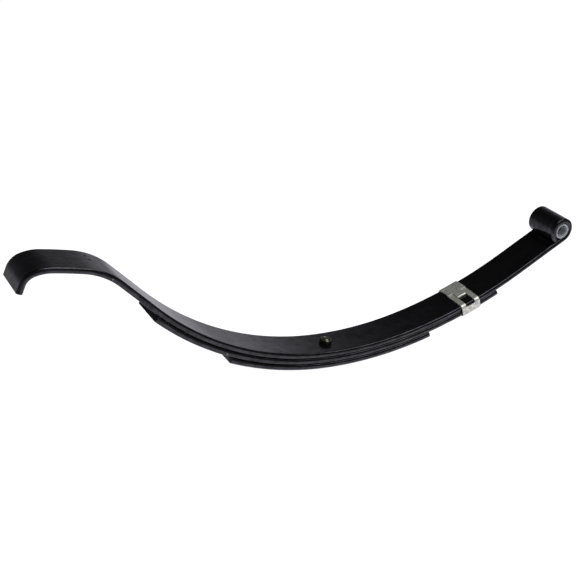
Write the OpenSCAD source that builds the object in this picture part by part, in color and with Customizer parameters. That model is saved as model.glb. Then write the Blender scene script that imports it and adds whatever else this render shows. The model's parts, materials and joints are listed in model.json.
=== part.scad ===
// Slipper leaf spring for a light trailer axle: three steel leaves on a centre bolt,
// a rolled eye with a nylon bushing at the +X end, a slipper hook at the -X end, and a
// strap clip that keeps the two longer leaves in line. Millimetres.
// The origin is on the axle seat, the underside of the stack at the centre bolt.
// +X runs toward the eye, +Y across the leaves, +Z up, the way the ends curve.
//
// Each leaf is one steel bar. It is drawn as a clamped middle and two arms that turn in a
// round knuckle, so that the bending of the bar can be followed by rigid pieces.

/* [Leaf bar] */
// width of every leaf
leaf_width = 44.45; // [30:0.05:80]
// thickness of every leaf
leaf_thickness = 6.35; // [4:0.05:12]
// free gap between two leaves outside the clamped middle
leaf_gap = 0.6; // [0.4:0.1:1.5]
// how far the round side of a leaf bulges past its flat faces
edge_bulge = 1.5; // [0.2:0.1:3]
// radius of the corners at the free end of the shorter leaves, seen from above
end_corner_r = 1; // [0.5:0.5:20]

/* [Curve toward the eye] */
// length of the tighter curve next to the middle
eye_inner_length = 109.6; // [50:0.1:200]
// radius of the tighter curve, on the top face of the main leaf
eye_inner_radius = 412; // [200:1:2000]
// length of the flatter curve after it
eye_outer_length = 153.9; // [50:0.1:250]
// radius of the flatter curve
eye_outer_radius = 514; // [200:1:3000]
// straight length that leads into the eye
eye_straight_length = 68.7; // [10:0.1:150]

/* [Curve toward the hook] */
// length of the curve between the middle and the straight part
hook_main_length = 240.6; // [100:0.1:400]
// radius of that curve
hook_main_radius = 341; // [200:1:2000]
// straight length before the crest
hook_straight_length = 48.2; // [10:0.1:150]
// length over the crest, where the leaf bends back down
hook_crest_length = 44.9; // [20:0.1:100]
// radius over the crest, on the top face
hook_crest_radius = 82; // [30:1:300]
// length of the almost flat slipper pad behind the crest
hook_pad_length = 30.4; // [10:0.1:100]
// radius of the slipper pad
hook_pad_radius = 464; // [100:1:2000]
// length of the first bend of the hook
hook_bend_length = 19.5; // [5:0.1:60]
// radius of the first bend
hook_bend_radius = 44.5; // [20:0.5:200]
// length of the tight bend of the hook
hook_turn_length = 18.2; // [5:0.1:60]
// radius of the tight bend
hook_turn_radius = 19.4; // [10:0.1:100]
// straight lip at the end of the hook
hook_lip_length = 8.4; // [1:0.1:40]

/* [Shorter leaves] */
// lengths are from the centre bolt, along the top face of the main leaf
// second leaf toward the eye
second_eye_length = 225.5; // [150:0.5:280]
// second leaf toward the hook
second_hook_length = 232; // [150:0.5:280]
// third leaf, on both sides
third_half_length = 127.5; // [80:0.5:200]

/* [Clamped middle] */
// distance from the centre bolt to the knuckle of each arm
knuckle_place = 48; // [30:1:80]
// clearance between the knuckle and the arm around it
knuckle_clearance = 0.35; // [0.2:0.05:1]
// half width of the raised seat round the bolt hole, which closes the gap to the leaf above
clamp_seat_half = 16; // [8:0.5:20]

/* [Centre bolt] */
// radius of the bolt shank
bolt_r = 3.97; // [3:0.01:8]
// radius of the bolt hole in each leaf
bolt_hole_r = 4.37; // [3.2:0.01:9]
// radius of the round head that locates the axle seat
bolt_head_r = 6.35; // [5:0.01:12]
// height of the round head
bolt_head_height = 6.35; // [3:0.05:12]
// length of the bolt that stands out of the nut
bolt_stub = 0.6; // [0:0.1:5]
// distance across the flats of the nut
nut_flats = 12.7; // [8:0.01:24]
// height of the nut
nut_height = 4.76; // [3:0.01:12]
// width of the chamfer on the corners of the nut
nut_chamfer = 0.9; // [0:0.1:2]
// angle at which the nut came to rest when it was tightened
nut_turn = 11.2; // [0:0.1:60]
// the nut bridges the hollow of the curved top face, so its middle stands this far off it
nut_lift = 0.11; // [0:0.01:0.5]

/* [Eye and bushing] */
// inside radius of the rolled eye
eye_bore_r = 9.525; // [6:0.005:20]
// angle that the eye is left open, where its lip comes round to the leaf
eye_open_angle = 58; // [50:1:120]
// outside radius of the nylon bushing
bushing_r = 9.5; // [5:0.005:20]
// radius of the bore for the eye bolt
bushing_bore_r = 7.2; // [3:0.05:15]
// length of the bushing
bushing_length = 44.45; // [30:0.05:80]
// chamfer at both ends of the bushing bore
bushing_chamfer = 0.8; // [0:0.1:2]

/* [Clip] */
// distance of the clip from the centre bolt along the leaf
clip_place = 186.3; // [150:0.1:210]
// length of the clip along the leaf
clip_length = 25.4; // [15:0.1:50]
// thickness of the strap
clip_thickness = 1.3; // [0.8:0.1:4]
// clearance beside both leaves
clip_side_gap = 0.4; // [0.3:0.05:2]
// clearance over the main leaf, which slides under the clip
clip_top_gap = 0.45; // [0.3:0.05:3]
// clearance under the second leaf, which carries the clip
clip_bottom_gap = 0.2; // [0:0.05:1]
// outside radius of the four bends of the strap
clip_bend_r = 4.3; // [2:0.1:10]
// length of the window along the leaf; it runs down through the near bend
clip_window_length = 12.4; // [5:0.1:20]
// far side of the window, across the leaf
clip_window_end = -4.4; // [-15:0.1:0]
// end of the near strap, hidden under the far strap
clip_near_end = 6.5; // [0:0.1:12]
// end of the far strap, which lies on the near one
clip_far_end = 3; // [-5:0.1:10]
// where the far strap begins to rise, and where it lies on the near one
clip_rise_start = 17.5; // [10:0.1:20]
clip_rise_end = 9; // [4:0.1:15]
// place of the tip of the tongue, turned down into the window
clip_tongue_tip = -7.4; // [-15:0.1:0]
// play between the tongue and the window at each side
clip_tongue_play = 0.4; // [0.1:0.1:2]

/* [Hidden] */
$fn = 96;
pitch = leaf_thickness + leaf_gap;
top = 3 * leaf_thickness + 2 * leaf_gap;
bolt_end = top + nut_lift + nut_height + bolt_stub;
edge_r = (pow(leaf_thickness / 2, 2) + pow(edge_bulge, 2)) / (2 * edge_bulge);
beyond = 200;
eps = 0.01;
// a thin band, barely proud of the bar, closes the joint between two stretches
seam_length = 0.4;
seam_proud = 1.001;

// Each stretch is [length, radius, bend]: bend 1 curves up, -1 curves down, 0 is straight.
eye_side = [
  [eye_inner_length, eye_inner_radius, 1],
  [eye_outer_length, eye_outer_radius, 1],
  [eye_straight_length, 0, 0]];
hook_side = [
  [hook_main_length, hook_main_radius, 1],
  [hook_straight_length, 0, 0],
  [hook_crest_length, hook_crest_radius, -1],
  [hook_pad_length, hook_pad_radius, -1],
  [hook_bend_length, hook_bend_radius, -1],
  [hook_turn_length, hook_turn_radius, -1],
  [hook_lip_length, 0, 0]];

function degrees(length, radius) = length / radius * 180 / PI;
// place [x, z, heading] after going a length along one stretch from a place
function along(p, s, length) = s[2] == 0
  ? [p[0] + length * cos(p[2]), p[1] + length * sin(p[2]), p[2]]
  : let (h = p[2] + s[2] * degrees(length, s[1]))
    [p[0] + s[2] * s[1] * (sin(h) - sin(p[2])), p[1] - s[2] * s[1] * (cos(h) - cos(p[2])), h];
function begin_of(side, i) = i == 0 ? 0 : begin_of(side, i - 1) + side[i - 1][0];
function place_of(side, i) =
  i == 0 ? [0, 0, 0] : along(place_of(side, i - 1), side[i - 1], side[i - 1][0]);
function stretch_at(side, length, i = 0) =
  i == len(side) - 1 || length <= begin_of(side, i + 1) ? i : stretch_at(side, length, i + 1);
// place on the top face of the main leaf at a length from the centre bolt
function place_at(side, length) =
  let (i = stretch_at(side, length))
  along(place_of(side, i), side[i], length - begin_of(side, i));
function total(side) = begin_of(side, len(side));
hook_start = begin_of(hook_side, 2);

// Puts its children at a place on the top face, +X along the leaf and +Z out of it.
module at(place) {
  translate([place[0], 0, place[1]]) rotate([0, -place[2], 0]) children();
}

// Draws a side that runs toward +X, or mirrors it to run toward -X.
module toward(side) {
  translate([0, 0, top]) {
    if (side == eye_side) children();
    else mirror([1, 0, 0]) children();
  }
}

// Cross-section of a leaf: x is its thickness, y its width.
module bar_section(thick) {
  flat = leaf_width / 2 - edge_bulge;
  translate([0, -flat]) square([thick, 2 * flat]);
  for (side = [-1, 1]) intersection() {
    translate([leaf_thickness / 2, side * (leaf_width / 2 - edge_r)]) circle(edge_r);
    translate([0, side > 0 ? flat : -flat - beyond]) square([thick, beyond]);
  }
}

// One stretch of a bar, from a place on the top face; depth is down to its own top face.
module stretch(s, length, depth) {
  if (s[2] == 0) {
    translate([0, 0, -depth]) rotate([0, 90, 0]) linear_extrude(height = length)
      bar_section(leaf_thickness);
  } else {
    turn = degrees(length, s[1]);
    inner = s[2] > 0 ? s[1] + depth : s[1] - depth - leaf_thickness;
    translate([0, 0, s[2] * s[1]]) rotate([-90, 0, 0])
      rotate([0, 0, s[2] > 0 ? 90 - turn : -90])
        rotate_extrude(angle = turn) translate([inner, 0]) bar_section(leaf_thickness);
  }
}

// Closes the joint between two stretches at a place on the top face.
module seam(place, depth) {
  at(place) translate([-seam_length / 2, 0, -depth - leaf_thickness / 2]) rotate([0, 90, 0])
    linear_extrude(height = seam_length) scale(seam_proud)
      translate([-leaf_thickness / 2, 0]) bar_section(leaf_thickness);
}

// A bar along one side between two lengths.
module bar(side, from, to, depth) {
  for (i = [0 : len(side) - 1]) {
    a = max(from, begin_of(side, i));
    b = min(to, begin_of(side, i) + side[i][0]);
    if (b > a + eps) {
      at(place_at(side, a)) stretch(side[i], b - a, depth);
      if (a > from) seam(place_at(side, a), depth);
    }
  }
}

// Hinge line of an arm, in the middle of the thickness of its leaf.
module at_knuckle(side, depth) {
  at(place_at(side, knuckle_place)) translate([0, 0, -depth - leaf_thickness / 2])
    rotate([-90, 0, 0]) children();
}

// Round end of the clamped middle: half of the bar's section turned about the hinge line.
module knuckle(side, depth) {
  flat = leaf_width / 2 - edge_bulge;
  at_knuckle(side, depth) rotate([0, 0, -90]) rotate_extrude(angle = 180) {
    translate([0, -flat]) square([leaf_thickness / 2, 2 * flat]);
    for (end = [-1, 1]) intersection() {
      translate([0, end * (leaf_width / 2 - edge_r)]) circle(edge_r);
      translate([0, end > 0 ? flat : -flat - edge_bulge]) square([leaf_thickness / 2, edge_bulge]);
    }
  }
}

// Clamped middle of a leaf, between its two knuckles, with the hole for the centre bolt.
module leaf_middle(number) {
  depth = number * pitch;
  difference() {
    union() {
      for (side = [eye_side, hook_side]) toward(side) {
        bar(side, 0, knuckle_place, depth);
        seam(place_at(side, knuckle_place), depth);
        knuckle(side, depth);
      }
      translate([0, 0, top]) seam([0, 0, 0], depth);
      // the stack is solid round the bolt
      if (number > 0)
        translate([-clamp_seat_half, -clamp_seat_half, top - depth - leaf_thickness / 2])
          cube([2 * clamp_seat_half, 2 * clamp_seat_half, leaf_thickness / 2 + leaf_gap - eps]);
    }
    translate([0, 0, -beyond / 2]) cylinder(r = bolt_hole_r, h = beyond);
  }
}

// Arm of a leaf, from its knuckle outward. The rolled eye and the hook carry on from there.
module leaf_arm(side, number, to) {
  depth = number * pitch;
  toward(side) difference() {
    bar(side, knuckle_place, to, depth);
    at_knuckle(side, depth)
      cylinder(r = leaf_thickness / 2 + knuckle_clearance, h = 2 * leaf_width, center = true);
    if (number > 0) end_corners(side, to, depth);
  }
}

// What is cut away to round the corners of a free end.
module end_corners(side, to, depth) {
  at(place_at(side, to)) for (edge = [-1, 1])
    translate([0, edge * leaf_width / 2, -depth - leaf_thickness / 2]) difference() {
      cube([2 * end_corner_r, 2 * end_corner_r, 2 * leaf_thickness], center = true);
      translate([-end_corner_r, -edge * end_corner_r, 0])
        cylinder(r = end_corner_r, h = 3 * leaf_thickness, center = true);
    }
}

// Puts its children on the axis of the eye, +Z along +Y, with +X toward the start of the roll.
module at_eye() {
  toward(eye_side) at(place_at(eye_side, total(eye_side))) translate([0, 0, eye_bore_r])
    rotate([-90, 0, 0]) rotate([0, 0, 90]) children();
}

module main_leaf_middle() { color("DimGray") leaf_middle(0); }
module second_leaf_middle() { color("DimGray") leaf_middle(1); }
module third_leaf_middle() { color("DimGray") leaf_middle(2); }

module main_leaf_eye_arm() { color("DimGray") leaf_arm(eye_side, 0, total(eye_side)); }
module main_leaf_rolled_eye() {
  color("DimGray") at_eye() rotate([0, 0, eye_open_angle - 360])
    rotate_extrude(angle = 360 - eye_open_angle)
      translate([eye_bore_r, 0]) bar_section(leaf_thickness);
}
module second_leaf_eye_arm() { color("DimGray") leaf_arm(eye_side, 1, second_eye_length); }
module third_leaf_eye_arm() { color("DimGray") leaf_arm(eye_side, 2, third_half_length); }

module main_leaf_hook_arm() { color("DimGray") leaf_arm(hook_side, 0, hook_start); }
module main_leaf_hook() {
  color("DimGray") toward(hook_side) bar(hook_side, hook_start, total(hook_side), 0);
}
module second_leaf_hook_arm() { color("DimGray") leaf_arm(hook_side, 1, second_hook_length); }
module third_leaf_hook_arm() { color("DimGray") leaf_arm(hook_side, 2, third_half_length); }

module eye_bushing() {
  color("WhiteSmoke") at_eye() difference() {
    cylinder(r = bushing_r, h = bushing_length, center = true);
    cylinder(r = bushing_bore_r, h = 2 * bushing_length, center = true);
    for (end = [-1, 1]) rotate([end > 0 ? 0 : 180, 0, 0])
      translate([0, 0, bushing_length / 2 - bushing_chamfer])
        cylinder(r1 = bushing_bore_r, r2 = bushing_bore_r + 2 * bushing_chamfer,
          h = 2 * bushing_chamfer);
  }
}

// Round-headed bolt: the head stands out below and locates the axle seat.
module centre_bolt() {
  color("DarkKhaki") {
    translate([0, 0, -bolt_head_height]) cylinder(r = bolt_head_r, h = bolt_head_height);
    cylinder(r = bolt_r, h = bolt_end - bolt_r / 5);
    translate([0, 0, bolt_end - bolt_r / 5])
      cylinder(r1 = bolt_r, r2 = bolt_r * 4 / 5, h = bolt_r / 5);
  }
}

module centre_nut() {
  corner_r = nut_flats / sqrt(3);
  color("DarkKhaki") translate([0, 0, top + nut_lift]) rotate([0, 0, nut_turn]) difference() {
    intersection() {
      cylinder(r = corner_r, h = nut_height, $fn = 6);
      union() {
        cylinder(r = corner_r + 1, h = nut_height - nut_chamfer / 2);
        translate([0, 0, nut_height - nut_chamfer / 2])
          cylinder(r1 = corner_r, r2 = corner_r - nut_chamfer, h = nut_chamfer / 2);
      }
    }
    translate([0, 0, -1]) cylinder(r = bolt_r + 0.05, h = nut_height + 2);
  }
}

// Rectangle with round corners, centred across the leaf: x is the width, y the height.
module rounded(width, low, high, r) {
  translate([-width / 2 + r, low]) square([width - 2 * r, high - low]);
  translate([-width / 2, low + r]) square([width, high - low - 2 * r]);
  for (x = [-width / 2 + r, width / 2 - r], z = [low + r, high - r]) translate([x, z]) circle(r);
}

// Strap clip: the far end of the band lies on the near end, and its tongue goes on over the
// bar beyond the window and turns down into the window.
module strap_clip() {
  inner_half = leaf_width / 2 + clip_side_gap;
  outer_half = inner_half + clip_thickness;
  low = -pitch - leaf_thickness - clip_bottom_gap;
  high = clip_top_gap;
  lap = high + clip_thickness;
  over = lap + clip_thickness;
  tongue_width = clip_window_length - 2 * clip_tongue_play;
  tip = clip_tongue_tip;
  color("Silver") toward(eye_side) at(place_at(eye_side, clip_place)) {
    difference() {
      across(clip_length) {
        difference() {
          rounded(2 * outer_half, low - clip_thickness, lap, clip_bend_r);
          rounded(2 * inner_half, low, high, clip_bend_r - clip_thickness);
          translate([clip_near_end, high - clip_thickness])
            square([clip_rise_start - clip_near_end, 3 * clip_thickness]);
        }
        polygon([[clip_rise_start + eps, high], [clip_rise_start + eps, lap],
          [clip_rise_end, over], [clip_far_end, over], [clip_far_end, lap - eps],
          [clip_rise_end - clip_thickness / 8, lap - eps]]);
      }
      translate([-clip_window_length / 2, -outer_half - 1, lap - clip_bend_r])
        cube([clip_window_length, clip_window_end + outer_half + 1, beyond]);
    }
    across(tongue_width)
      polygon([[clip_far_end + 1, lap - eps], [clip_far_end + 1, over],
        [tip + clip_thickness, over], [tip, lap], [tip, high + clip_thickness / 3],
        [tip + clip_thickness, high + clip_thickness / 3], [tip + clip_thickness, lap - eps]]);
  }
}

// Extrudes a drawing of y and z along the leaf, centred on the middle of the clip.
module across(length) {
  translate([-length / 2, 0, 0]) rotate([90, 0, 90]) linear_extrude(height = length) children();
}

main_leaf_middle();
main_leaf_eye_arm();
main_leaf_rolled_eye();
main_leaf_hook_arm();
main_leaf_hook();
second_leaf_middle();
second_leaf_eye_arm();
second_leaf_hook_arm();
third_leaf_middle();
third_leaf_eye_arm();
third_leaf_hook_arm();
eye_bushing();
centre_bolt();
centre_nut();
strap_clip();
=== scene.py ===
import json
import math

import bmesh
import bpy
import numpy as np
from mathutils import Matrix, Vector

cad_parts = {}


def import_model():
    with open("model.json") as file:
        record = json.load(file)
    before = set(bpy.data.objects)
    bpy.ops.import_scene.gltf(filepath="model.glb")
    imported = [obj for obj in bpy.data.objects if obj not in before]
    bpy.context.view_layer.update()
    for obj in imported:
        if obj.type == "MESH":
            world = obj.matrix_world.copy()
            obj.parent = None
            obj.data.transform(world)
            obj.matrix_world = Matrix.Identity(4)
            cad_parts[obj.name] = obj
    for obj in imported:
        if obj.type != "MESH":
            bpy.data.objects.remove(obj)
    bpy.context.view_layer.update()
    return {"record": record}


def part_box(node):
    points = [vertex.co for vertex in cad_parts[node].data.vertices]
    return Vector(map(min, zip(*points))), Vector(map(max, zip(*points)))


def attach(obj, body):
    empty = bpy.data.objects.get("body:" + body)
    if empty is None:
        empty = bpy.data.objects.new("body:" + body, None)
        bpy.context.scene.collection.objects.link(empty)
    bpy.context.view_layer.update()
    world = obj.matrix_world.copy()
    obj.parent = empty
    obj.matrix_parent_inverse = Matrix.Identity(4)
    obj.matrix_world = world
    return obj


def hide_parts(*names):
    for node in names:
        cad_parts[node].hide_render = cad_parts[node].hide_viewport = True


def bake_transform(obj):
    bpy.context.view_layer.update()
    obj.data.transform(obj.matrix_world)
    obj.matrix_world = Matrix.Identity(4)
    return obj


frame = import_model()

MM = 0.001
MOUNTS = {mount["name"]: mount["dims"] for mount in frame["record"]["mounts"]}


def node_size(node, axis):
    """Size of a CAD node along one axis, in mm."""
    low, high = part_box(node)
    return round((high[axis] - low[axis]) / MM, 2)


# ---------------------------------------------------------------- the leaf bar, in millimetres
WIDTH = node_size("eye_bushing", 1)
THICK = 6.35
# from one leaf's top face to the next one's
PITCH = 6.95
# room under the nut, and the height of the main leaf's top face at the bolt
NUT_LIFT = 0.11
TOP = round(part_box("centre_nut")[0].z / MM - NUT_LIFT, 2)
# the rolled edge: how far its middle stands out, its radius, and the fillet along its corners
BULGE = 1.5
EDGE_R = ((THICK / 2) ** 2 + BULGE**2) / (2 * BULGE)
FILLET = 0.85
# inside radius of the rolled eye, and how far round it is rolled, in degrees
EYE_R = 9.525
EYE_TURN = 302
# radius of the holes for the centre bolt
HOLE_R = 4.37
# each stretch is (length, radius, bend): 1 curves up, -1 curves down, 0 is straight
EYE_SIDE = [(109.6, 412, 1), (153.9, 514, 1), (68.7, 0, 0),
            (math.radians(EYE_TURN) * EYE_R, EYE_R, 1)]
HOOK_SIDE = [(240.6, 341, 1), (48.2, 0, 0), (44.9, 82, -1), (30.4, 464, -1),
             (19.5, 44.5, -1), (18.2, 19.4, -1), (8.4, 0, 0)]
EYE_TANGENT = sum(stretch[0] for stretch in EYE_SIDE[:-1])
# the leaves from the top down: length from the bolt to the end on either side
LEAVES = [("main", sum(stretch[0] for stretch in EYE_SIDE), sum(stretch[0] for stretch in HOOK_SIDE)),
          ("second", 225.5, 232),
          ("third", 127.5, 127.5)]
# rounding of the corners and bevel of the edges at a leaf's end
END_CORNER, END_BEVEL = 0.5, 0.3
CORNER_FROM_Y = 16
# y at which a leaf's flat face gives way to its edge, and over what width
EDGE_FROM_Y, EDGE_OVER = 19, 3
# close sections, as distances from a leaf's start and from its end
FINE_START = (0.0, 0.3, 0.9, 1.8)
FINE_END = (2.4, 1.5, 0.9, 0.7, 0.5, 0.35, 0.22, 0.12, 0.05, 0.0)
# the longest step between two other sections, and the most that the leaf may turn in one
LONGEST_STEP, WIDEST_STEP = 2.5, math.radians(4)
# height between two leaves in the coordinates that the paint reads, so that no two look the same
PAINT_PITCH = 9.0


def place_at(side, s):
    """Place (x, z, heading) on the top face of the main leaf, s from the bolt, +x toward the end."""
    x = z = h = 0.0
    for i, (length, radius, bend) in enumerate(side):
        d = s if i == len(side) - 1 else min(s, length)
        if bend:
            h2 = h + bend * d / radius
            x += bend * radius * (math.sin(h2) - math.sin(h))
            z -= bend * radius * (math.cos(h2) - math.cos(h))
            h = h2
        else:
            x += d * math.cos(h)
            z += d * math.sin(h)
        s -= d
        if s <= 1e-9:
            break
    return x, z, h


def radius_at(side, s):
    """Radius of the bend s from the bolt, or a very large one where the leaf is straight."""
    for length, radius, bend in side:
        if s <= length:
            return radius if bend else 1e9
        s -= length
    return 1e9


def section():
    """Outline of the bar's cross-section, from the middle of the underside round the -Y edge,
    over the top and back: rows of y, height from mid-thickness, closeness to a corner."""
    half_t = THICK / 2
    arc_y = WIDTH / 2 - EDGE_R
    zc = half_t - FILLET
    yc = arc_y + math.sqrt((EDGE_R - FILLET) ** 2 - zc**2)
    turn = math.atan2(zc, yc - arc_y)
    fillet_steps, edge_steps, flat_points, worn_strip = 5, 6, 15, 1.2
    quarter = []  # top right, from the top flat to the middle of the edge
    for k in range(fillet_steps + 1):
        a = math.pi / 2 + (turn - math.pi / 2) * k / fillet_steps
        quarter.append((yc + FILLET * math.cos(a), zc + FILLET * math.sin(a), 1.0))
    for k in range(1, edge_steps + 1):
        a = turn * (1 - k / edge_steps)
        near = max(0.0, 1 - 2 * k / edge_steps)
        quarter.append((arc_y + EDGE_R * math.cos(a), EDGE_R * math.sin(a), near))
    flats = np.linspace(-1, 1, flat_points + 2)[1:-1] * yc
    top = [(y, half_t, max(0.0, 1 - (yc - abs(y)) / worn_strip)) for y in flats]
    right = quarter + [(y, -z, c) for y, z, c in quarter[-2::-1]]
    left = [(-y, z, c) for y, z, c in reversed(right)]
    bottom = [(-y, -z, c) for y, z, c in top]
    ring = left + top + right + bottom
    return np.array(ring)


RING = section()


def stations(side, length):
    """Places along a leaf: close together at both ends and in the tight bends."""
    places = list(FINE_START)
    while places[-1] < length:
        ahead = radius_at(side, places[-1] + 0.1)
        places.append(places[-1] + min(LONGEST_STEP, WIDEST_STEP * ahead))
    ends = [length - d for d in FINE_END]
    return [p for p in places if p < ends[0] - 0.6] + ends


def wander(s, y, seed):
    """Height of the rolled face, in mm: the slight unevenness of a hot rolled and quenched bar."""
    return (0.030 * np.sin(s / 9.7 + 1.3 * seed) * np.cos(y / 13.0 + seed)
            + 0.022 * np.sin(s / 23.0 - 0.8 * seed + y / 17.0)
            + 0.012 * np.sin(s / 4.1 + y / 6.0 + 2.1 * seed))


def mesh_object(name, verts, faces):
    """A new object with the given mesh, in the scene."""
    mesh = bpy.data.meshes.new(name)
    mesh.from_pydata([tuple(v) for v in verts], [], faces)
    mesh.update()
    obj = bpy.data.objects.new(name, mesh)
    bpy.context.scene.collection.objects.link(obj)
    return obj


def smooth(obj, angle=32):
    """Smooth shading, with every edge sharper than the angle kept crisp."""
    bm = bmesh.new()
    bm.from_mesh(obj.data)
    bmesh.ops.recalc_face_normals(bm, faces=bm.faces)
    limit = math.radians(angle)
    for f in bm.faces:
        f.smooth = True
    for e in bm.edges:
        e.smooth = len(e.link_faces) != 2 or e.calc_face_angle(0) < limit
    bm.to_mesh(obj.data)
    bm.free()
    return obj


def store(obj, name, kind, values):
    """Keeps one value per vertex on the mesh, for its material to read."""
    attribute = obj.data.attributes.new(name, kind, "POINT")
    field = "vector" if kind == "FLOAT_VECTOR" else "value"
    attribute.data.foreach_set(field, np.asarray(values, np.float32).ravel())


def drawn_in(radius, left):
    """How far a rounding of the given radius has drawn in, left mm before the end."""
    if left >= radius:
        return 0.0
    return radius - math.sqrt(max(0.0, radius**2 - (radius - left) ** 2))


def bar_outline(s, left, toward, number):
    """Outline of a leaf s from the bolt and left mm before its end, uneven as a rolled bar is:
    y and height from mid-thickness, as arrays."""
    shrink = drawn_in(END_CORNER, left)
    inset = drawn_in(END_BEVEL, left)
    across = np.abs(RING[:, 0])
    corner = np.where(across > CORNER_FROM_Y, shrink, shrink * across / CORNER_FROM_Y)
    y = np.sign(RING[:, 0]) * (across - corner - inset * across / (WIDTH / 2))
    height = RING[:, 1] * (1 - inset / (THICK / 2))
    edge_share = np.clip((across - EDGE_FROM_Y) / EDGE_OVER, 0, 1)
    fade = min(1.0, s / 12, left / 6)
    uneven = wander(toward * s, RING[:, 0], number + 1.0) * fade
    height = height + np.sign(RING[:, 1]) * uneven * (1 - edge_share)
    ripple = np.sin(s / 7.3 + 2.2 * number) + 0.6 * np.sin(s / 2.9 + 0.7 * number)
    y = y + np.sign(y) * edge_share * fade * 0.05 * ripple
    return y, height


def leaf_half(name, side, toward, number, length):
    """One side of a leaf as a closed swept bar, from the bolt to its end."""
    places = stations(side, length)
    depth = number * PITCH + THICK / 2
    end_wear = 1.5
    verts, bars, edges = [], [], []
    for s in places:
        x, z, h = place_at(side, s)
        left = length - s
        y, height = bar_outline(s, left, toward, number)
        off = height - depth
        px = x - off * math.sin(h)
        pz = z + off * math.cos(h)
        verts += [(toward * a * MM, b * MM, (c + TOP) * MM) for a, b, c in zip(px, y, pz)]
        bars += [(toward * s * MM, b * MM, (c + number * PAINT_PITCH) * MM) for b, c in zip(y, height)]
        near_end = max(0.0, 1 - left / end_wear)
        edges += [max(c, near_end) for c in RING[:, 2]]
    n = len(RING)
    faces = []
    for i in range(len(places) - 1):
        for k in range(n):
            a = i * n + k
            b = i * n + (k + 1) % n
            faces.append((a, b, b + n, a + n) if toward > 0 else (a + n, b + n, b, a))
    first = list(range(n))
    last = list(range((len(places) - 1) * n, len(places) * n))
    faces.append(first if toward < 0 else first[::-1])
    faces.append(last[::-1] if toward < 0 else last)
    obj = mesh_object(name, verts, faces)
    store(obj, "bar", "FLOAT_VECTOR", bars)
    store(obj, "corner", "FLOAT", edges)
    cut_bolt_hole(obj)
    smooth(obj)
    return obj


def cut_bolt_hole(obj):
    """Takes the bolt hole out of one side of a leaf."""
    bm = bmesh.new()
    through = 60 * MM
    bmesh.ops.create_cone(bm, cap_ends=True, segments=64, radius1=HOLE_R * MM, radius2=HOLE_R * MM,
                          depth=through)
    cutter = bpy.data.objects.new("cutter", bpy.data.meshes.new("cutter"))
    bm.to_mesh(cutter.data)
    bm.free()
    bpy.context.scene.collection.objects.link(cutter)
    mod = obj.modifiers.new("hole", "BOOLEAN")
    mod.operation = "DIFFERENCE"
    mod.solver = "EXACT"
    mod.object = cutter
    dg = bpy.context.evaluated_depsgraph_get()
    mesh = bpy.data.meshes.new_from_object(obj.evaluated_get(dg), preserve_all_data_layers=True,
                                           depsgraph=dg)
    obj.modifiers.clear()
    old = obj.data
    obj.data = mesh
    bpy.data.meshes.remove(old)
    mesh.name = obj.name
    bpy.data.objects.remove(cutter)


# ---------------------------------------------------------------- lathe and strap helpers
def grid_faces(rows, cols, closed=False):
    """Faces between rings of points, with the last ring joined to the first if closed."""
    faces = []
    for i in range(rows if closed else rows - 1):
        here, there = i * cols, (i + 1) % rows * cols
        for k in range(cols):
            after = (k + 1) % cols
            faces.append((here + k, here + after, there + after, there + k))
    return faces


def bushing():
    """Nylon tube in the eye: the moulded ends are rounded, the bore is chamfered."""
    x, z, h = place_at(EYE_SIDE, EYE_TANGENT)
    cx = x - EYE_R * math.sin(h)
    cz = z + EYE_R * math.cos(h) + TOP
    r_out, r_in, half = 9.25, MOUNTS["eye_bolt_bore"]["r_mm"], WIDTH / 2
    profile = []
    round_end, round_steps = 0.55, 5
    for k in range(round_steps + 1):
        a = math.radians(90 * k / round_steps)
        profile.append((r_out - round_end * (1 - math.cos(a)), half - round_end * (1 - math.sin(a))))
    profile += [(r_in + 1.15, half), (r_in + 0.95, half - 0.03), (r_in + 0.5, half - 0.42),
                (r_in + 0.12, half - 0.78), (r_in, half - 1.0)]
    loop = ([(r, y) for r, y in profile] + [(r_in, y) for y in np.linspace(half - 3, -half + 3, 12)]
            + [(r, -y) for r, y in reversed(profile)]
            + [(r_out, y) for y in np.linspace(-half + 2, half - 2, 10)])
    seg = 72
    verts = []
    for r, y in loop:
        for k in range(seg):
            a = 2 * math.pi * k / seg
            out_of_round = 1 + 0.0025 * math.sin(2 * a + 0.4)
            rr = r * out_of_round if r < r_out - 0.2 else r
            verts.append(((cx + rr * math.cos(a)) * MM, y * MM, (cz + rr * math.sin(a)) * MM))
    obj = mesh_object("eye_bushing_tube", verts, grid_faces(len(loop), seg, closed=True))
    store(obj, "bar", "FLOAT_VECTOR",
          [(v[0] - cx * MM, v[1], v[2] - cz * MM) for v in verts])
    return smooth(obj, 40)


# the nut's size across its flats, its height and its turn from the leaf's line
NUT_FLATS, NUT_HEIGHT, NUT_TURN = 12.7, node_size("centre_nut", 2), math.radians(11.2)
# the bolt: shank, head below the leaves, end standing out of the nut, thread pitch and depth
BOLT_R = 3.97
HEAD_R, HEAD_H = MOUNTS["centre_bolt_head"]["r_mm"], MOUNTS["centre_bolt_head"]["length_mm"]
BOLT_END = TOP + NUT_LIFT + NUT_HEIGHT + 0.6
THREAD, THREAD_DEPTH = 1.058, 0.6


def hex_radius(angle):
    """Radius of the nut at an angle: a hexagon with slightly rounded corners."""
    half = NUT_FLATS / 2
    from_flat = math.pi / 6 - abs((angle + math.pi / 6) % (math.pi / 3) - math.pi / 6)
    sharp = half / math.cos(from_flat)
    limit = half / math.cos(math.pi / 6) - 0.22
    soft = 0.12
    blend = min(1.0, max(0.0, 0.5 + 0.5 * (limit - sharp) / soft))
    return limit * (1 - blend) + sharp * blend - soft * blend * (1 - blend)


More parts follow.
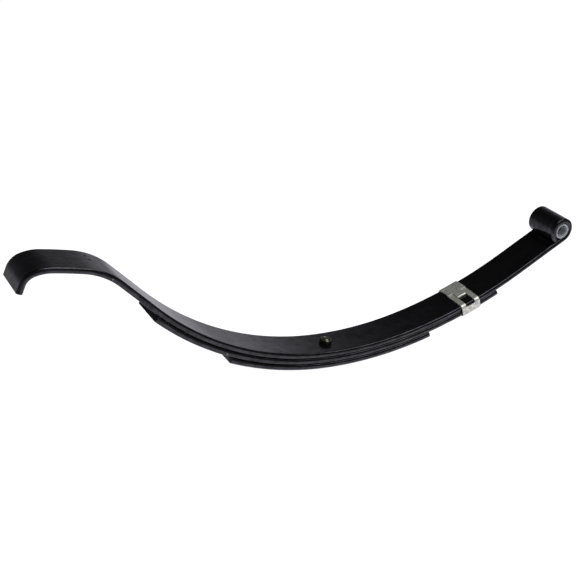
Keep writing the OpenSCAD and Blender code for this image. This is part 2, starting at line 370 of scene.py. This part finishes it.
def nut():
    """Hex nut: chamfered corners top and bottom, countersunk bore."""
    seg = 144
    crown = 0.965 * NUT_FLATS / 2
    slope = math.tan(math.radians(27))
    z0, z1 = TOP + NUT_LIFT, TOP + NUT_LIFT + NUT_HEIGHT
    bore, sink_width, sink_depth = BOLT_R + 0.05, 0.75, 0.7
    angles = [2 * math.pi * k / seg for k in range(seg)]
    radii = [hex_radius(a) for a in angles]
    drops = [max(0.03, (r - crown) * slope) for r in radii]
    lip, lip_height = 0.06, 0.12
    rings = [[(bore, z0 + sink_depth)] * seg,
             [(bore + sink_width, z0)] * seg,
             [(crown, z0)] * seg,
             [(r - lip, z0 + drop) for r, drop in zip(radii, drops)],
             [(r, z0 + drop + lip_height) for r, drop in zip(radii, drops)],
             [(r, (z0 + z1) / 2) for r in radii],
             [(r, z1 - drop - lip_height) for r, drop in zip(radii, drops)],
             [(r - lip, z1 - drop) for r, drop in zip(radii, drops)],
             [(crown, z1)] * seg,
             [((crown + bore) / 2 + 0.6, z1)] * seg,
             [(bore + sink_width, z1)] * seg,
             [(bore, z1 - sink_depth)] * seg]
    verts = [(r * math.cos(a + NUT_TURN) * MM, r * math.sin(a + NUT_TURN) * MM, z * MM)
             for ring in rings for a, (r, z) in zip(angles, ring)]
    return smooth(mesh_object("centre_nut_hex", verts, grid_faces(len(rings), seg, closed=True)), 24)


def thread_radius(z, turn, start):
    """Radius of the threaded shank at height z and a share of a turn, with its end chamfered."""
    tooth = 1 - abs(2 * ((z / THREAD - turn) % 1.0) - 1)
    tooth = min(1.0, max(0.0, (tooth - 0.06) / 0.8))
    run_out = min(1.0, (z - start) / 2)
    chamfer = BOLT_R - 0.9 + (BOLT_END - z) * 1.1
    return min(BOLT_R - 0.02 - THREAD_DEPTH * (1 - tooth) * run_out, chamfer)


def bolt():
    """Centre bolt: cylindrical head below, rolled thread above."""
    seg, rows_per_turn = 64, 9
    levels = [(0.0, -HEAD_H), (HEAD_R - 1.6, -HEAD_H), (HEAD_R - 0.75, -HEAD_H + 0.12),
              (HEAD_R - 0.22, -HEAD_H + 0.45), (HEAD_R, -HEAD_H + 1.0), (HEAD_R, -0.5),
              (HEAD_R - 0.08, -0.16), (HEAD_R - 0.3, 0.0), (BOLT_R + 0.35, 0.0),
              (BOLT_R, 0.4)]
    rows = [[(r, z)] * seg for r, z in levels]
    start = TOP - 5
    z = start
    while z < BOLT_END:
        rows.append([(thread_radius(z, k / seg, start), z) for k in range(seg)])
        z += THREAD / rows_per_turn
    rows.append([(BOLT_R - 1.0, BOLT_END)] * seg)
    rows.append([(0.0, BOLT_END + 0.03)] * seg)
    angles = [2 * math.pi * k / seg for k in range(seg)]
    verts = [(r * math.cos(a) * MM, r * math.sin(a) * MM, height * MM)
             for row in rows for a, (r, height) in zip(angles, row)]
    obj = mesh_object("centre_bolt_shank", verts, grid_faces(len(rows), seg))
    bm = bmesh.new()
    bm.from_mesh(obj.data)
    bmesh.ops.remove_doubles(bm, verts=bm.verts, dist=1e-6)
    bm.to_mesh(obj.data)
    bm.free()
    return smooth(obj, 35)


# the strap clip: where it sits on the eye side, its length along the leaves, its thickness
CLIP_PLACE, CLIP_LENGTH, CLIP_T = 186.3, 25.4, 1.3
# its room round the leaves and the outer radius of its bends
SIDE_GAP, TOP_GAP, LOW_GAP, BEND_R = 0.4, 0.45, 0.2, 4.3
# the window: its length along the leaves, where it ends across them, and the tongue's play in it
WINDOW_LENGTH, WINDOW_END, TONGUE_PLAY = 12.4, -4.4, 0.4
# across the leaves: the strap's near end, its far end, where the far end climbs, the tongue's tip
NEAR_END, FAR_END, RISE_START, RISE_END, TIP = 6.5, 3.0, 17.5, 9.0, -7.4
# between the two ends where they lie on each other, and the radius of the tongue's fold
LAP_GAP, FOLD_R = 0.07, 1.5


def strap_path():
    """Middle line of the strap across the leaves as (y, z, normal angle), from its near end, round
    underneath, over the near end again and on as the tongue; and where its parts begin."""
    half = WIDTH / 2 + SIDE_GAP + CLIP_T / 2
    low = -PITCH - THICK - LOW_GAP - CLIP_T / 2
    high = TOP_GAP + CLIP_T / 2
    r = BEND_R - CLIP_T / 2
    pts = []

    def line(y0, z0, y1, z1, angle, step=1.2):
        n = max(1, int(math.hypot(y1 - y0, z1 - z0) / step))
        for k in range(n + 1):
            t = k / n
            pts.append((y0 + (y1 - y0) * t, z0 + (z1 - z0) * t, angle))

    def bend(cy, cz, a0, a1, n=10):
        for k in range(1, n):
            a = math.radians(a0 + (a1 - a0) * k / n)
            pts.append((cy + r * math.cos(a), cz + r * math.sin(a), math.degrees(a)))

    parts = {}
    line(NEAR_END, high, WINDOW_END, high, 90)
    parts["window"] = len(pts) - 1
    line(WINDOW_END - 0.6, high, -half + r, high, 90)
    bend(-half + r, high - r, 90, 180)
    parts["side"] = len(pts)
    line(-half, high - r, -half, low + r, 180)
    bend(-half + r, low + r, 180, 270)
    line(-half + r, low, half - r, low, 270, 2.5)
    bend(half - r, low + r, 270, 360)
    line(half, low + r, half, high - r, 360)
    bend(half - r, high - r, 0, 90)
    line(half - r, high, RISE_START, high, 90, 0.8)
    rise, rise_steps = CLIP_T + LAP_GAP, 8
    for k in range(1, rise_steps + 1):
        t = k / rise_steps
        lift = t * t * (3 - 2 * t)
        slope = math.degrees(math.atan2(6 * t * (1 - t) * rise, RISE_START - RISE_END))
        pts.append((RISE_START + (RISE_END - RISE_START) * t, high + rise * lift, 90 - slope))
    line(RISE_END - 0.8, high + rise, FAR_END, high + rise, 90)
    parts["tongue"] = len(pts) - 1
    tip = TIP + CLIP_T / 2
    line(FAR_END - 0.8, high + rise, tip + FOLD_R, high + rise, 90)
    for angle in (106, 122, 140, 158, 176):
        a = math.radians(angle)
        pts.append((tip + FOLD_R + FOLD_R * math.cos(a), high + rise - FOLD_R + FOLD_R * math.sin(a),
                    angle))
    pts.append((tip, high + rise - FOLD_R - 0.3, 180))
    return pts, parts


def strap_cells():
    """The strap as a grid: the path's points, the lines along the leaves, and which cells are metal."""
    pts, parts = strap_path()
    half_l, half_w = CLIP_LENGTH / 2, WINDOW_LENGTH / 2
    half_t = half_w - TONGUE_PLAY
    xs = sorted(set([-half_l, half_l, -half_w, half_w, -half_t, half_t]
                    + list(np.linspace(-half_l, half_l, 15))))
    solid = np.ones((len(pts) - 1, len(xs) - 1), bool)
    middle = np.abs([(a + b) / 2 for a, b in zip(xs, xs[1:])])
    solid[parts["window"]:parts["side"], middle < half_w] = False
    solid[parts["tongue"]:, middle > half_t] = False
    return pts, xs, solid


def clip():
    """Strap clip: one band whose far end lies on its near end, with the tongue in the window."""
    pts, xs, solid = strap_cells()
    rows, cols = solid.shape
    found, verts, bars, faces = {}, [], [], []
    travel = np.concatenate([[0], np.cumsum([math.hypot(b[0] - a[0], b[1] - a[1])
                                             for a, b in zip(pts, pts[1:])])])

    def vert(i, j, out):
        if (i, j, out) not in found:
            x = xs[j]
            y, z, angle = pts[i]
            a = math.radians(angle)
            dent = (0.07 * math.sin(x / 4.7 + y / 3.9 + z / 3.0)
                    + 0.05 * math.sin(x / 2.3 - y / 2.7 + z / 2.0))
            o = (CLIP_T / 2 if out else -CLIP_T / 2) + dent
            found[i, j, out] = len(verts)
            verts.append((x, y + o * math.cos(a), z + o * math.sin(a)))
            bars.append((x * MM, travel[i] * MM, o * MM))
        return found[i, j, out]

    def filled(i, j):
        return 0 <= i < rows and 0 <= j < cols and solid[i, j]

    for i, j in zip(*np.nonzero(solid)):
        q = [(i, j), (i, j + 1), (i + 1, j + 1), (i + 1, j)]
        faces.append([vert(a, b, True) for a, b in q])
        faces.append([vert(a, b, False) for a, b in reversed(q)])
        for k, (di, dj) in enumerate([(-1, 0), (0, 1), (1, 0), (0, -1)]):
            p, r = q[k], q[(k + 1) % 4]
            if not filled(i + di, j + dj):
                faces.append([vert(*r, True), vert(*p, True), vert(*p, False), vert(*r, False)])
    x, z, h = place_at(EYE_SIDE, CLIP_PLACE)
    ch, sh = math.cos(h), math.sin(h)
    world = [((x + a * ch - c * sh) * MM, b * MM, (z + a * sh + c * ch + TOP) * MM)
             for a, b, c in verts]
    obj = mesh_object("strap_clip_band", world, faces)
    store(obj, "bar", "FLOAT_VECTOR", bars)
    smooth(obj, 40)
    bevel = obj.modifiers.new("edges", "BEVEL")
    bevel.width = 0.22 * MM
    bevel.segments = 2
    bevel.limit_method = "ANGLE"
    bevel.angle_limit = math.radians(50)
    return obj


# ---------------------------------------------------------------- materials
class Nodes:
    """Builds a node tree; each call adds one node and gives its output."""

    def __init__(self, tree):
        self.tree = tree
        tree.nodes.clear()

    def new(self, kind, **values):
        """A node with settings and input values by name; the only call that gives the node itself."""
        node = self.tree.nodes.new(kind)
        for key, value in values.items():
            if hasattr(node, key):
                setattr(node, key, value)
            else:
                node.inputs[key.replace("_", " ")].default_value = value
        return node

    def link(self, a, b):
        self.tree.links.new(a, b)

    def math(self, op, a, b):
        node = self.tree.nodes.new("ShaderNodeMath")
        node.operation = op
        for i, v in enumerate((a, b)):
            if isinstance(v, (int, float)):
                node.inputs[i].default_value = v
            else:
                self.link(v, node.inputs[i])
        return node.outputs[0]

    def span(self, value, lo, hi, to_lo, to_hi):
        node = self.tree.nodes.new("ShaderNodeMapRange")
        node.clamp = True
        self.link(value, node.inputs[0])
        for i, v in enumerate((lo, hi, to_lo, to_hi)):
            node.inputs[i + 1].default_value = v
        return node.outputs[0]

    def stretch(self, vector, scale):
        node = self.tree.nodes.new("ShaderNodeMapping")
        node.inputs["Scale"].default_value = scale
        self.link(vector, node.inputs["Vector"])
        return node.outputs[0]

    def noise(self, vector, scale, detail=2.0, rough=0.5, distort=0.0):
        node = self.tree.nodes.new("ShaderNodeTexNoise")
        node.inputs["Scale"].default_value = scale
        node.inputs["Detail"].default_value = detail
        node.inputs["Roughness"].default_value = rough
        node.inputs["Distortion"].default_value = distort
        self.link(vector, node.inputs["Vector"])
        return node.outputs["Fac"]

    def voronoi(self, vector, scale):
        node = self.tree.nodes.new("ShaderNodeTexVoronoi")
        node.inputs["Scale"].default_value = scale
        self.link(vector, node.inputs["Vector"])
        return node.outputs

    def mix(self, factor, a, b):
        node = self.tree.nodes.new("ShaderNodeMix")
        node.data_type = "RGBA"
        for socket, v in ((node.inputs[0], factor), (node.inputs[6], a), (node.inputs[7], b)):
            if isinstance(v, (int, float)):
                socket.default_value = v
            elif isinstance(v, tuple):
                socket.default_value = (*v, 1.0)
            else:
                self.link(v, socket)
        return node.outputs[2]

    def bump(self, height, distance, strength=1.0, normal=None):
        node = self.tree.nodes.new("ShaderNodeBump")
        node.inputs["Distance"].default_value = distance
        node.inputs["Strength"].default_value = strength
        self.link(height, node.inputs["Height"])
        if normal is not None:
            self.link(normal, node.inputs["Normal"])
        return node.outputs[0]


def material(name):
    mat = bpy.data.materials.new(name)
    mat.use_nodes = True
    kit = Nodes(mat.node_tree)
    shader = kit.new("ShaderNodeBsdfPrincipled")
    out = kit.new("ShaderNodeOutputMaterial")
    kit.link(shader.outputs[0], out.inputs[0])
    return mat, kit, shader


def attribute(kit, name, output):
    """A value that store() kept on the mesh."""
    node = kit.new("ShaderNodeAttribute")
    node.attribute_name = name
    return node.outputs[output]


# single marks on the leaves: place along, across and through the leaf, and radius; PAINT_PITCH more
# through the leaf is the next leaf down
PITS = [(-322, 11, 3.2, 2.0), (-320, 3, 3.2, 2.2), (-56, -7, 3.2, 1.3), (-331, 15, 3.2, 1.2)]
SCARS = [(-301, -22.2, 0.0, 1.5), (-188, -22.2, -1.2, 0.9), (-136, -22.2, 9.0, 1.4),
         (-250, -21.6, -1.5, 0.8), (-92, -22.2, 17.6, 0.7)]


def marks(kit, bar, places):
    """1 inside any of the round marks, falling to 0 just outside."""
    total = None
    for x, y, z, radius in places:
        gap = kit.new("ShaderNodeVectorMath", operation="DISTANCE")
        kit.link(bar, gap.inputs[0])
        gap.inputs[1].default_value = (x * MM, y * MM, z * MM)
        one = kit.span(gap.outputs["Value"], 0.5 * radius * MM, radius * MM, 1.0, 0.0)
        total = one if total is None else kit.math("MAXIMUM", total, one)
    return total


def warped(kit, bar, amount=0.0012):
    """The place along the leaf, shifted a little by noise, so that round marks come out ragged."""
    shift = kit.new("ShaderNodeVectorMath", operation="SCALE", Scale=amount)
    noise = kit.new("ShaderNodeTexNoise", Scale=900.0)
    total = kit.new("ShaderNodeVectorMath", operation="ADD")
    kit.link(bar, noise.inputs["Vector"])
    kit.link(noise.outputs["Color"], shift.inputs[0])
    kit.link(bar, total.inputs[0])
    kit.link(shift.outputs[0], total.inputs[1])
    return total.outputs[0]


def paint_specks(kit, bar):
    """1 in the small dark pits of the paint, 0 elsewhere."""
    cells = kit.voronoi(bar, 95)
    speck = kit.span(cells["Distance"], 0.05, 0.11, 1.0, 0.0)
    rare = kit.span(kit.noise(bar, 34, 2, 0.5), 0.60, 0.64, 0.0, 1.0)
    return kit.math("MAXIMUM", kit.math("MULTIPLY", speck, rare), marks(kit, warped(kit, bar), PITS))


def paint_chips(kit, bar):
    """1 where the paint is off: bits of the sharp corners, and the single scars."""
    corner = attribute(kit, "corner", "Fac")
    worn = kit.math("MULTIPLY", kit.span(kit.noise(bar, 420, 4, 0.7), 0.60, 0.66, 0.0, 1.0),
                    kit.span(corner, 0.55, 1.0, 0.0, 1.0))
    patch = kit.span(kit.noise(bar, 48, 2, 0.5), 0.56, 0.62, 0.0, 1.0)
    return kit.math("MAXIMUM", kit.math("MULTIPLY", worn, patch), marks(kit, warped(kit, bar), SCARS))


def leaf_paint():
    """Satin black paint over rolled steel: drawn lines, orange peel, dust and small edge chips."""
    mat, kit, shader = material("leaf_paint_black")
    bar = attribute(kit, "bar", "Vector")
    streak = kit.noise(kit.stretch(bar, (0.07, 1.0, 1.0)), 650, 4, 0.6)
    broad = kit.noise(kit.stretch(bar, (0.25, 1.0, 1.0)), 55, 5, 0.6, 0.6)
    mottle = kit.noise(kit.stretch(bar, (0.6, 1.0, 1.0)), 210, 4, 0.65)
    peel = kit.noise(bar, 620, 1.5, 0.5)
    dust = kit.noise(bar, 1900, 3, 0.7)
    speck = paint_specks(kit, bar)
    chip = paint_chips(kit, bar)
    dark = kit.mix(kit.span(broad, 0.3, 0.7, 0.0, 1.0), (0.0034, 0.0034, 0.0037),
                   (0.0060, 0.0059, 0.0063))
    dusty = kit.mix(kit.math("MULTIPLY", kit.span(dust, 0.62, 0.74, 0.0, 0.45), broad), dark,
                    (0.018, 0.017, 0.016))
    specked = kit.mix(kit.math("MULTIPLY", speck, 0.6), dusty, (0.002, 0.002, 0.002))
    colour = kit.mix(kit.math("MULTIPLY", chip, 0.8), specked, (0.30, 0.29, 0.28))
    kit.link(colour, shader.inputs["Base Color"])
    rough = kit.math("ADD", kit.span(broad, 0.25, 0.75, 0.11, 0.20),
                     kit.span(streak, 0.3, 0.7, -0.04, 0.05))
    rough = kit.math("ADD", rough, kit.math("MULTIPLY", chip, 0.15))
    rough = kit.math("ADD", rough, kit.math("MULTIPLY", speck, 0.35))
    kit.link(rough, shader.inputs["Roughness"])
    sheen = kit.math("ADD", kit.span(streak, 0.3, 0.7, 0.36, 0.64),
                     kit.span(mottle, 0.35, 0.65, -0.22, 0.22))
    kit.link(kit.math("MULTIPLY", sheen, kit.span(speck, 0.0, 1.0, 1.0, 0.1)),
             shader.inputs["Specular IOR Level"])
    shader.inputs["Specular Tint"].default_value = (0.93, 0.89, 1.0, 1.0)
    normal = kit.bump(streak, 0.00006, 0.7)
    normal = kit.bump(mottle, 0.00016, 0.8, normal)
    normal = kit.bump(peel, 0.00003, 0.5, normal)
    normal = kit.bump(kit.math("ADD", speck, chip), -0.00008, 0.8, normal)
    kit.link(normal, shader.inputs["Normal"])
    return mat


def nylon():
    """Natural nylon tube: milky, a little grimy, with a fine moulded grain."""
    mat, kit, shader = material("nylon_natural")
    bar = attribute(kit, "bar", "Vector")
    cloud = kit.noise(bar, 260, 3, 0.5)
    grain = kit.noise(kit.stretch(bar, (1.0, 3.0, 1.0)), 900, 3, 0.6)
    grime = kit.noise(bar, 520, 5, 0.7)
    colour = kit.mix(kit.span(cloud, 0.3, 0.7, 0.0, 1.0), (0.37, 0.387, 0.39), (0.49, 0.512, 0.51))
    colour = kit.mix(kit.span(grime, 0.62, 0.75, 0.0, 0.5), colour, (0.30, 0.31, 0.32))
    kit.link(colour, shader.inputs["Base Color"])
    kit.link(kit.span(cloud, 0.3, 0.7, 0.34, 0.5), shader.inputs["Roughness"])
    shader.inputs["Subsurface Weight"].default_value = 0.25
    shader.inputs["Subsurface Radius"].default_value = (0.8, 0.9, 1.0)
    shader.inputs["Subsurface Scale"].default_value = 0.0015
    kit.link(kit.bump(grain, 0.00004, 0.6), shader.inputs["Normal"])
    return mat


def zinc():
    """Olive yellow zinc plate, dark and dulled, with greyer patches."""
    mat, kit, shader = material("zinc_olive")
    coord = kit.new("ShaderNodeTexCoord").outputs["Object"]
    cloud = kit.noise(coord, 300, 4, 0.6)
    fine = kit.noise(coord, 2200, 3, 0.6)
    tint = kit.noise(coord, 140, 2, 0.5)
    colour = kit.mix(kit.span(cloud, 0.3, 0.7, 0.0, 1.0), (0.105, 0.105, 0.078),
                     (0.23, 0.228, 0.165))
    colour = kit.mix(kit.span(tint, 0.5, 0.7, 0.0, 0.5), colour, (0.16, 0.15, 0.16))
    kit.link(colour, shader.inputs["Base Color"])
    shader.inputs["Metallic"].default_value = 1.0
    kit.link(kit.span(fine, 0.3, 0.7, 0.24, 0.36), shader.inputs["Roughness"])
    kit.link(kit.bump(fine, 0.00002, 0.6), shader.inputs["Normal"])
    return mat


def galvanised():
    """Hot dip zinc: mottled grey spangle, scuffed and stained."""
    mat, kit, shader = material("galvanised_strap")
    bar = attribute(kit, "bar", "Vector")
    spangle = kit.voronoi(bar, 420)
    tone = kit.new("ShaderNodeSeparateColor")
    kit.link(spangle["Color"], tone.inputs[0])
    cloud = kit.noise(bar, 230, 5, 0.65)
    fine = kit.noise(bar, 850, 5, 0.7)
    scratch = kit.noise(kit.stretch(bar, (1.0, 0.12, 1.0)), 1300, 3, 0.6)
    colour = kit.mix(kit.span(cloud, 0.3, 0.7, 0.0, 1.0), (0.46, 0.46, 0.415),
                     (1.0, 0.995, 0.915))
    colour = kit.mix(kit.math("MULTIPLY", tone.outputs[0], 0.25), colour, (0.42, 0.43, 0.40))
    colour = kit.mix(kit.span(fine, 0.54, 0.68, 0.0, 0.8), colour, (0.24, 0.24, 0.21))
    kit.link(colour, shader.inputs["Base Color"])
    kit.link(kit.span(cloud, 0.35, 0.65, 0.42, 0.62), shader.inputs["Metallic"])
    rough = kit.math("ADD", kit.span(tone.outputs[1], 0.0, 1.0, 0.27, 0.44),
                     kit.span(fine, 0.3, 0.7, -0.04, 0.08))
    kit.link(rough, shader.inputs["Roughness"])
    normal = kit.bump(cloud, 0.00030, 0.8)
    normal = kit.bump(scratch, 0.00004, 0.7, normal)
    kit.link(normal, shader.inputs["Normal"])
    return mat


# ---------------------------------------------------------------- the pieces
PAINT = leaf_paint()
# the CAD nodes that the ends of the main leaf stand for besides its middle and arms
FORMED_ENDS = {"main_leaf_eye_half": ["main_leaf_rolled_eye"], "main_leaf_hook_half": ["main_leaf_hook"]}
for number, (leaf, eye_length, hook_length) in enumerate(LEAVES):
    for word, side, toward, length in (("eye", EYE_SIDE, 1, eye_length),
                                       ("hook", HOOK_SIDE, -1, hook_length)):
        half = leaf_half(f"{leaf}_leaf_{word}_half", side, toward, number, length)
        half.data.materials.append(PAINT)
        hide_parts(f"{leaf}_leaf_middle", f"{leaf}_leaf_{word}_arm",
                    *FORMED_ENDS.get(half.name, []))
        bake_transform(half)

tube = bushing()
tube.data.materials.append(nylon())
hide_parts("eye_bushing")
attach(tube, "main_eye_arm")

ZINC = zinc()
for piece, node in ((nut(), "centre_nut"), (bolt(), "centre_bolt")):
    piece.data.materials.append(ZINC)
    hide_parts(node)
    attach(piece, "clamped_middle")

band = clip()
band.data.materials.append(galvanised())
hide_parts("strap_clip")
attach(band, "second_eye_arm")

# ---------------------------------------------------------------- floor, light and camera, in metres
# half the floor's side, its depth below the bolt's head, and the tint of the light in the studio
FLOOR_HALF = 30
FLOOR_GAP = 0.15 * MM
STUDIO_TINT = (0.99, 0.98, 1.07, 1)


def seen_or_cast(kit, seen, cast):
    """One shader for what is seen directly, another for what lights and mirrors in the metal."""
    path = kit.new("ShaderNodeLightPath")
    pick = kit.new("ShaderNodeMixShader")
    kit.link(path.outputs["Is Camera Ray"], pick.inputs[0])
    kit.link(cast.outputs[0], pick.inputs[1])
    kit.link(seen.outputs[0], pick.inputs[2])
    return pick.outputs[0]


def floor():
    """White paper to the camera; to the metal, a glowing floor, brightest in front of the spring:
    painted light that lights the metal and shows in it as a reflection.
    """
    size = FLOOR_HALF
    z = -HEAD_H * MM - FLOOR_GAP
    obj = mesh_object("floor", [(-size, -size, z), (size, -size, z), (size, size, z),
                                (-size, size, z)], [(0, 1, 2, 3)])
    mat = bpy.data.materials.new("floor_paper_glowing")
    mat.use_nodes = True
    kit = Nodes(mat.node_tree)
    out = kit.new("ShaderNodeOutputMaterial")
    diffuse = kit.new("ShaderNodeBsdfDiffuse")
    diffuse.inputs["Color"].default_value = (0.34, 0.34, 0.34, 1)
    seen = kit.new("ShaderNodeEmission")
    seen.inputs["Strength"].default_value = 1.0
    cast = kit.new("ShaderNodeEmission")
    cast.inputs["Color"].default_value = STUDIO_TINT
    coord = kit.new("ShaderNodeTexCoord").outputs["Object"]
    part = kit.new("ShaderNodeSeparateXYZ")
    kit.link(coord, part.inputs[0])
    away = kit.new("ShaderNodeVectorMath", operation="LENGTH")
    kit.link(coord, away.inputs[0])
    # painted light: the floor's glow toward the metal, brightest near the spring and in front of it,
    # weaker to the sides
    near = kit.span(away.outputs["Value"], 0.35, 1.1, 0.50, 0.36)
    front = kit.math("MINIMUM", kit.span(part.outputs[1], -0.22, 0.10, 2.1, 1.0),
                     kit.span(part.outputs[1], -0.45, -0.22, 0.7, 2.1))
    side = kit.math("MULTIPLY", kit.span(part.outputs[0], -1.3, -0.25, 0.6, 1.0),
                    kit.span(part.outputs[0], 0.38, 0.60, 1.0, 0.6))
    kit.link(kit.math("MULTIPLY", kit.math("MULTIPLY", near, front), side), cast.inputs["Strength"])
    both = kit.new("ShaderNodeAddShader")
    kit.link(diffuse.outputs[0], both.inputs[0])
    kit.link(seen_or_cast(kit, seen, cast), both.inputs[1])
    kit.link(both.outputs[0], out.inputs[0])
    obj.data.materials.append(mat)


def world():
    """Studio round the table: pale near the horizon, brightest behind to the right, dark overhead."""
    studio = bpy.data.worlds.new("studio")
    bpy.context.scene.world = studio
    studio.use_nodes = True
    kit = Nodes(studio.node_tree)
    out = kit.new("ShaderNodeOutputWorld")
    coord = kit.new("ShaderNodeTexCoord").outputs["Generated"]
    part = kit.new("ShaderNodeSeparateXYZ")
    kit.link(coord, part.inputs[0])
    ramp = kit.new("ShaderNodeValToRGB")
    ramp.color_ramp.interpolation = "EASE"
    # brightness by height: the sine of the elevation, from the horizon to straight up
    stops = [(0.0, 0.68), (0.10, 0.60), (0.20, 0.52), (0.30, 0.40), (0.38, 0.32), (0.44, 0.27),
             (0.50, 0.23), (0.56, 0.19), (0.62, 0.14), (0.66, 0.12), (0.76, 0.085), (1.0, 0.06)]
    elements = ramp.color_ramp.elements
    for place, value in stops[1:-1]:
        elements.new(place)
    for element, (place, value) in zip(elements, stops):
        element.position = place
        element.color = (value, value, value, 1)
    kit.link(part.outputs[2], ramp.inputs[0])
    level = kit.new("ShaderNodeVectorMath", operation="MULTIPLY")
    kit.link(coord, level.inputs[0])
    level.inputs[1].default_value = (1, 1, 0)
    unit = kit.new("ShaderNodeVectorMath", operation="NORMALIZE")
    kit.link(level.outputs[0], unit.inputs[0])
    toward = kit.new("ShaderNodeVectorMath", operation="DOT_PRODUCT")
    kit.link(unit.outputs[0], toward.inputs[0])
    az = math.radians(44)
    toward.inputs[1].default_value = (math.sin(az), math.cos(az), 0)
    narrowness, brightest, everywhere = 14.0, 0.624, 0.216
    peak = kit.math("POWER", kit.math("MAXIMUM", toward.outputs["Value"], 0.0), narrowness)
    share = kit.math("ADD", kit.math("MULTIPLY", peak, brightest), everywhere)
    strength = kit.math("MULTIPLY", ramp.outputs[0], share)
    lit = kit.new("ShaderNodeBackground")
    lit.inputs["Color"].default_value = STUDIO_TINT
    kit.link(strength, lit.inputs["Strength"])
    white = kit.new("ShaderNodeBackground")
    white.inputs["Color"].default_value = (1, 1, 1, 1)
    kit.link(seen_or_cast(kit, white, lit), out.inputs[0])


def softbox(name, place, size, radiance, target=(0, 0, 0.06)):
    """A square lamp that faces the target."""
    light = bpy.data.lights.new(name, "AREA")
    light.shape = "SQUARE"
    light.size = size
    light.energy = radiance * math.pi * size * size
    obj = bpy.data.objects.new(name, light)
    obj.location = place
    obj.rotation_mode = "QUATERNION"
    obj.rotation_quaternion = (Vector(target) - Vector(place)).to_track_quat("-Z", "Y")
    bpy.context.scene.collection.objects.link(obj)


# the camera: azimuth from the -Y side, elevation and roll in degrees, place, and lens in mm
VIEW_AZIMUTH, VIEW_ELEVATION, VIEW_ROLL = -32.977, 24.776, 8.711
VIEW_PLACE = (-0.62532, -0.87015, 0.57383)
VIEW_LENS, VIEW_SENSOR = 66.84, 36


def camera():
    """The camera, rolled a little from level."""
    az, el, roll = (math.radians(a) for a in (VIEW_AZIMUTH, VIEW_ELEVATION, VIEW_ROLL))
    back = Vector((math.sin(az) * math.cos(el), -math.cos(az) * math.cos(el), math.sin(el)))
    right = Vector((math.cos(az), math.sin(az), 0))
    up = back.cross(right)
    local_x = right * math.cos(roll) + up * math.sin(roll)
    local_y = up * math.cos(roll) - right * math.sin(roll)
    cam = bpy.data.objects.new("camera", bpy.data.cameras.new("camera"))
    cam.data.sensor_width = VIEW_SENSOR
    cam.data.lens = VIEW_LENS
    cam.data.clip_start = 0.05
    cam.data.clip_end = 200
    turn = Matrix((local_x, local_y, back)).transposed().to_4x4()
    cam.matrix_world = Matrix.Translation(VIEW_PLACE) @ turn
    bpy.context.scene.collection.objects.link(cam)
    bpy.context.scene.camera = cam


floor()
world()
softbox("key_overhead", (0.35, -0.55, 1.35), 1.1, 3.0)
camera()
bpy.context.scene.view_settings.view_transform = "Standard"

bpy.context.view_layer.update()
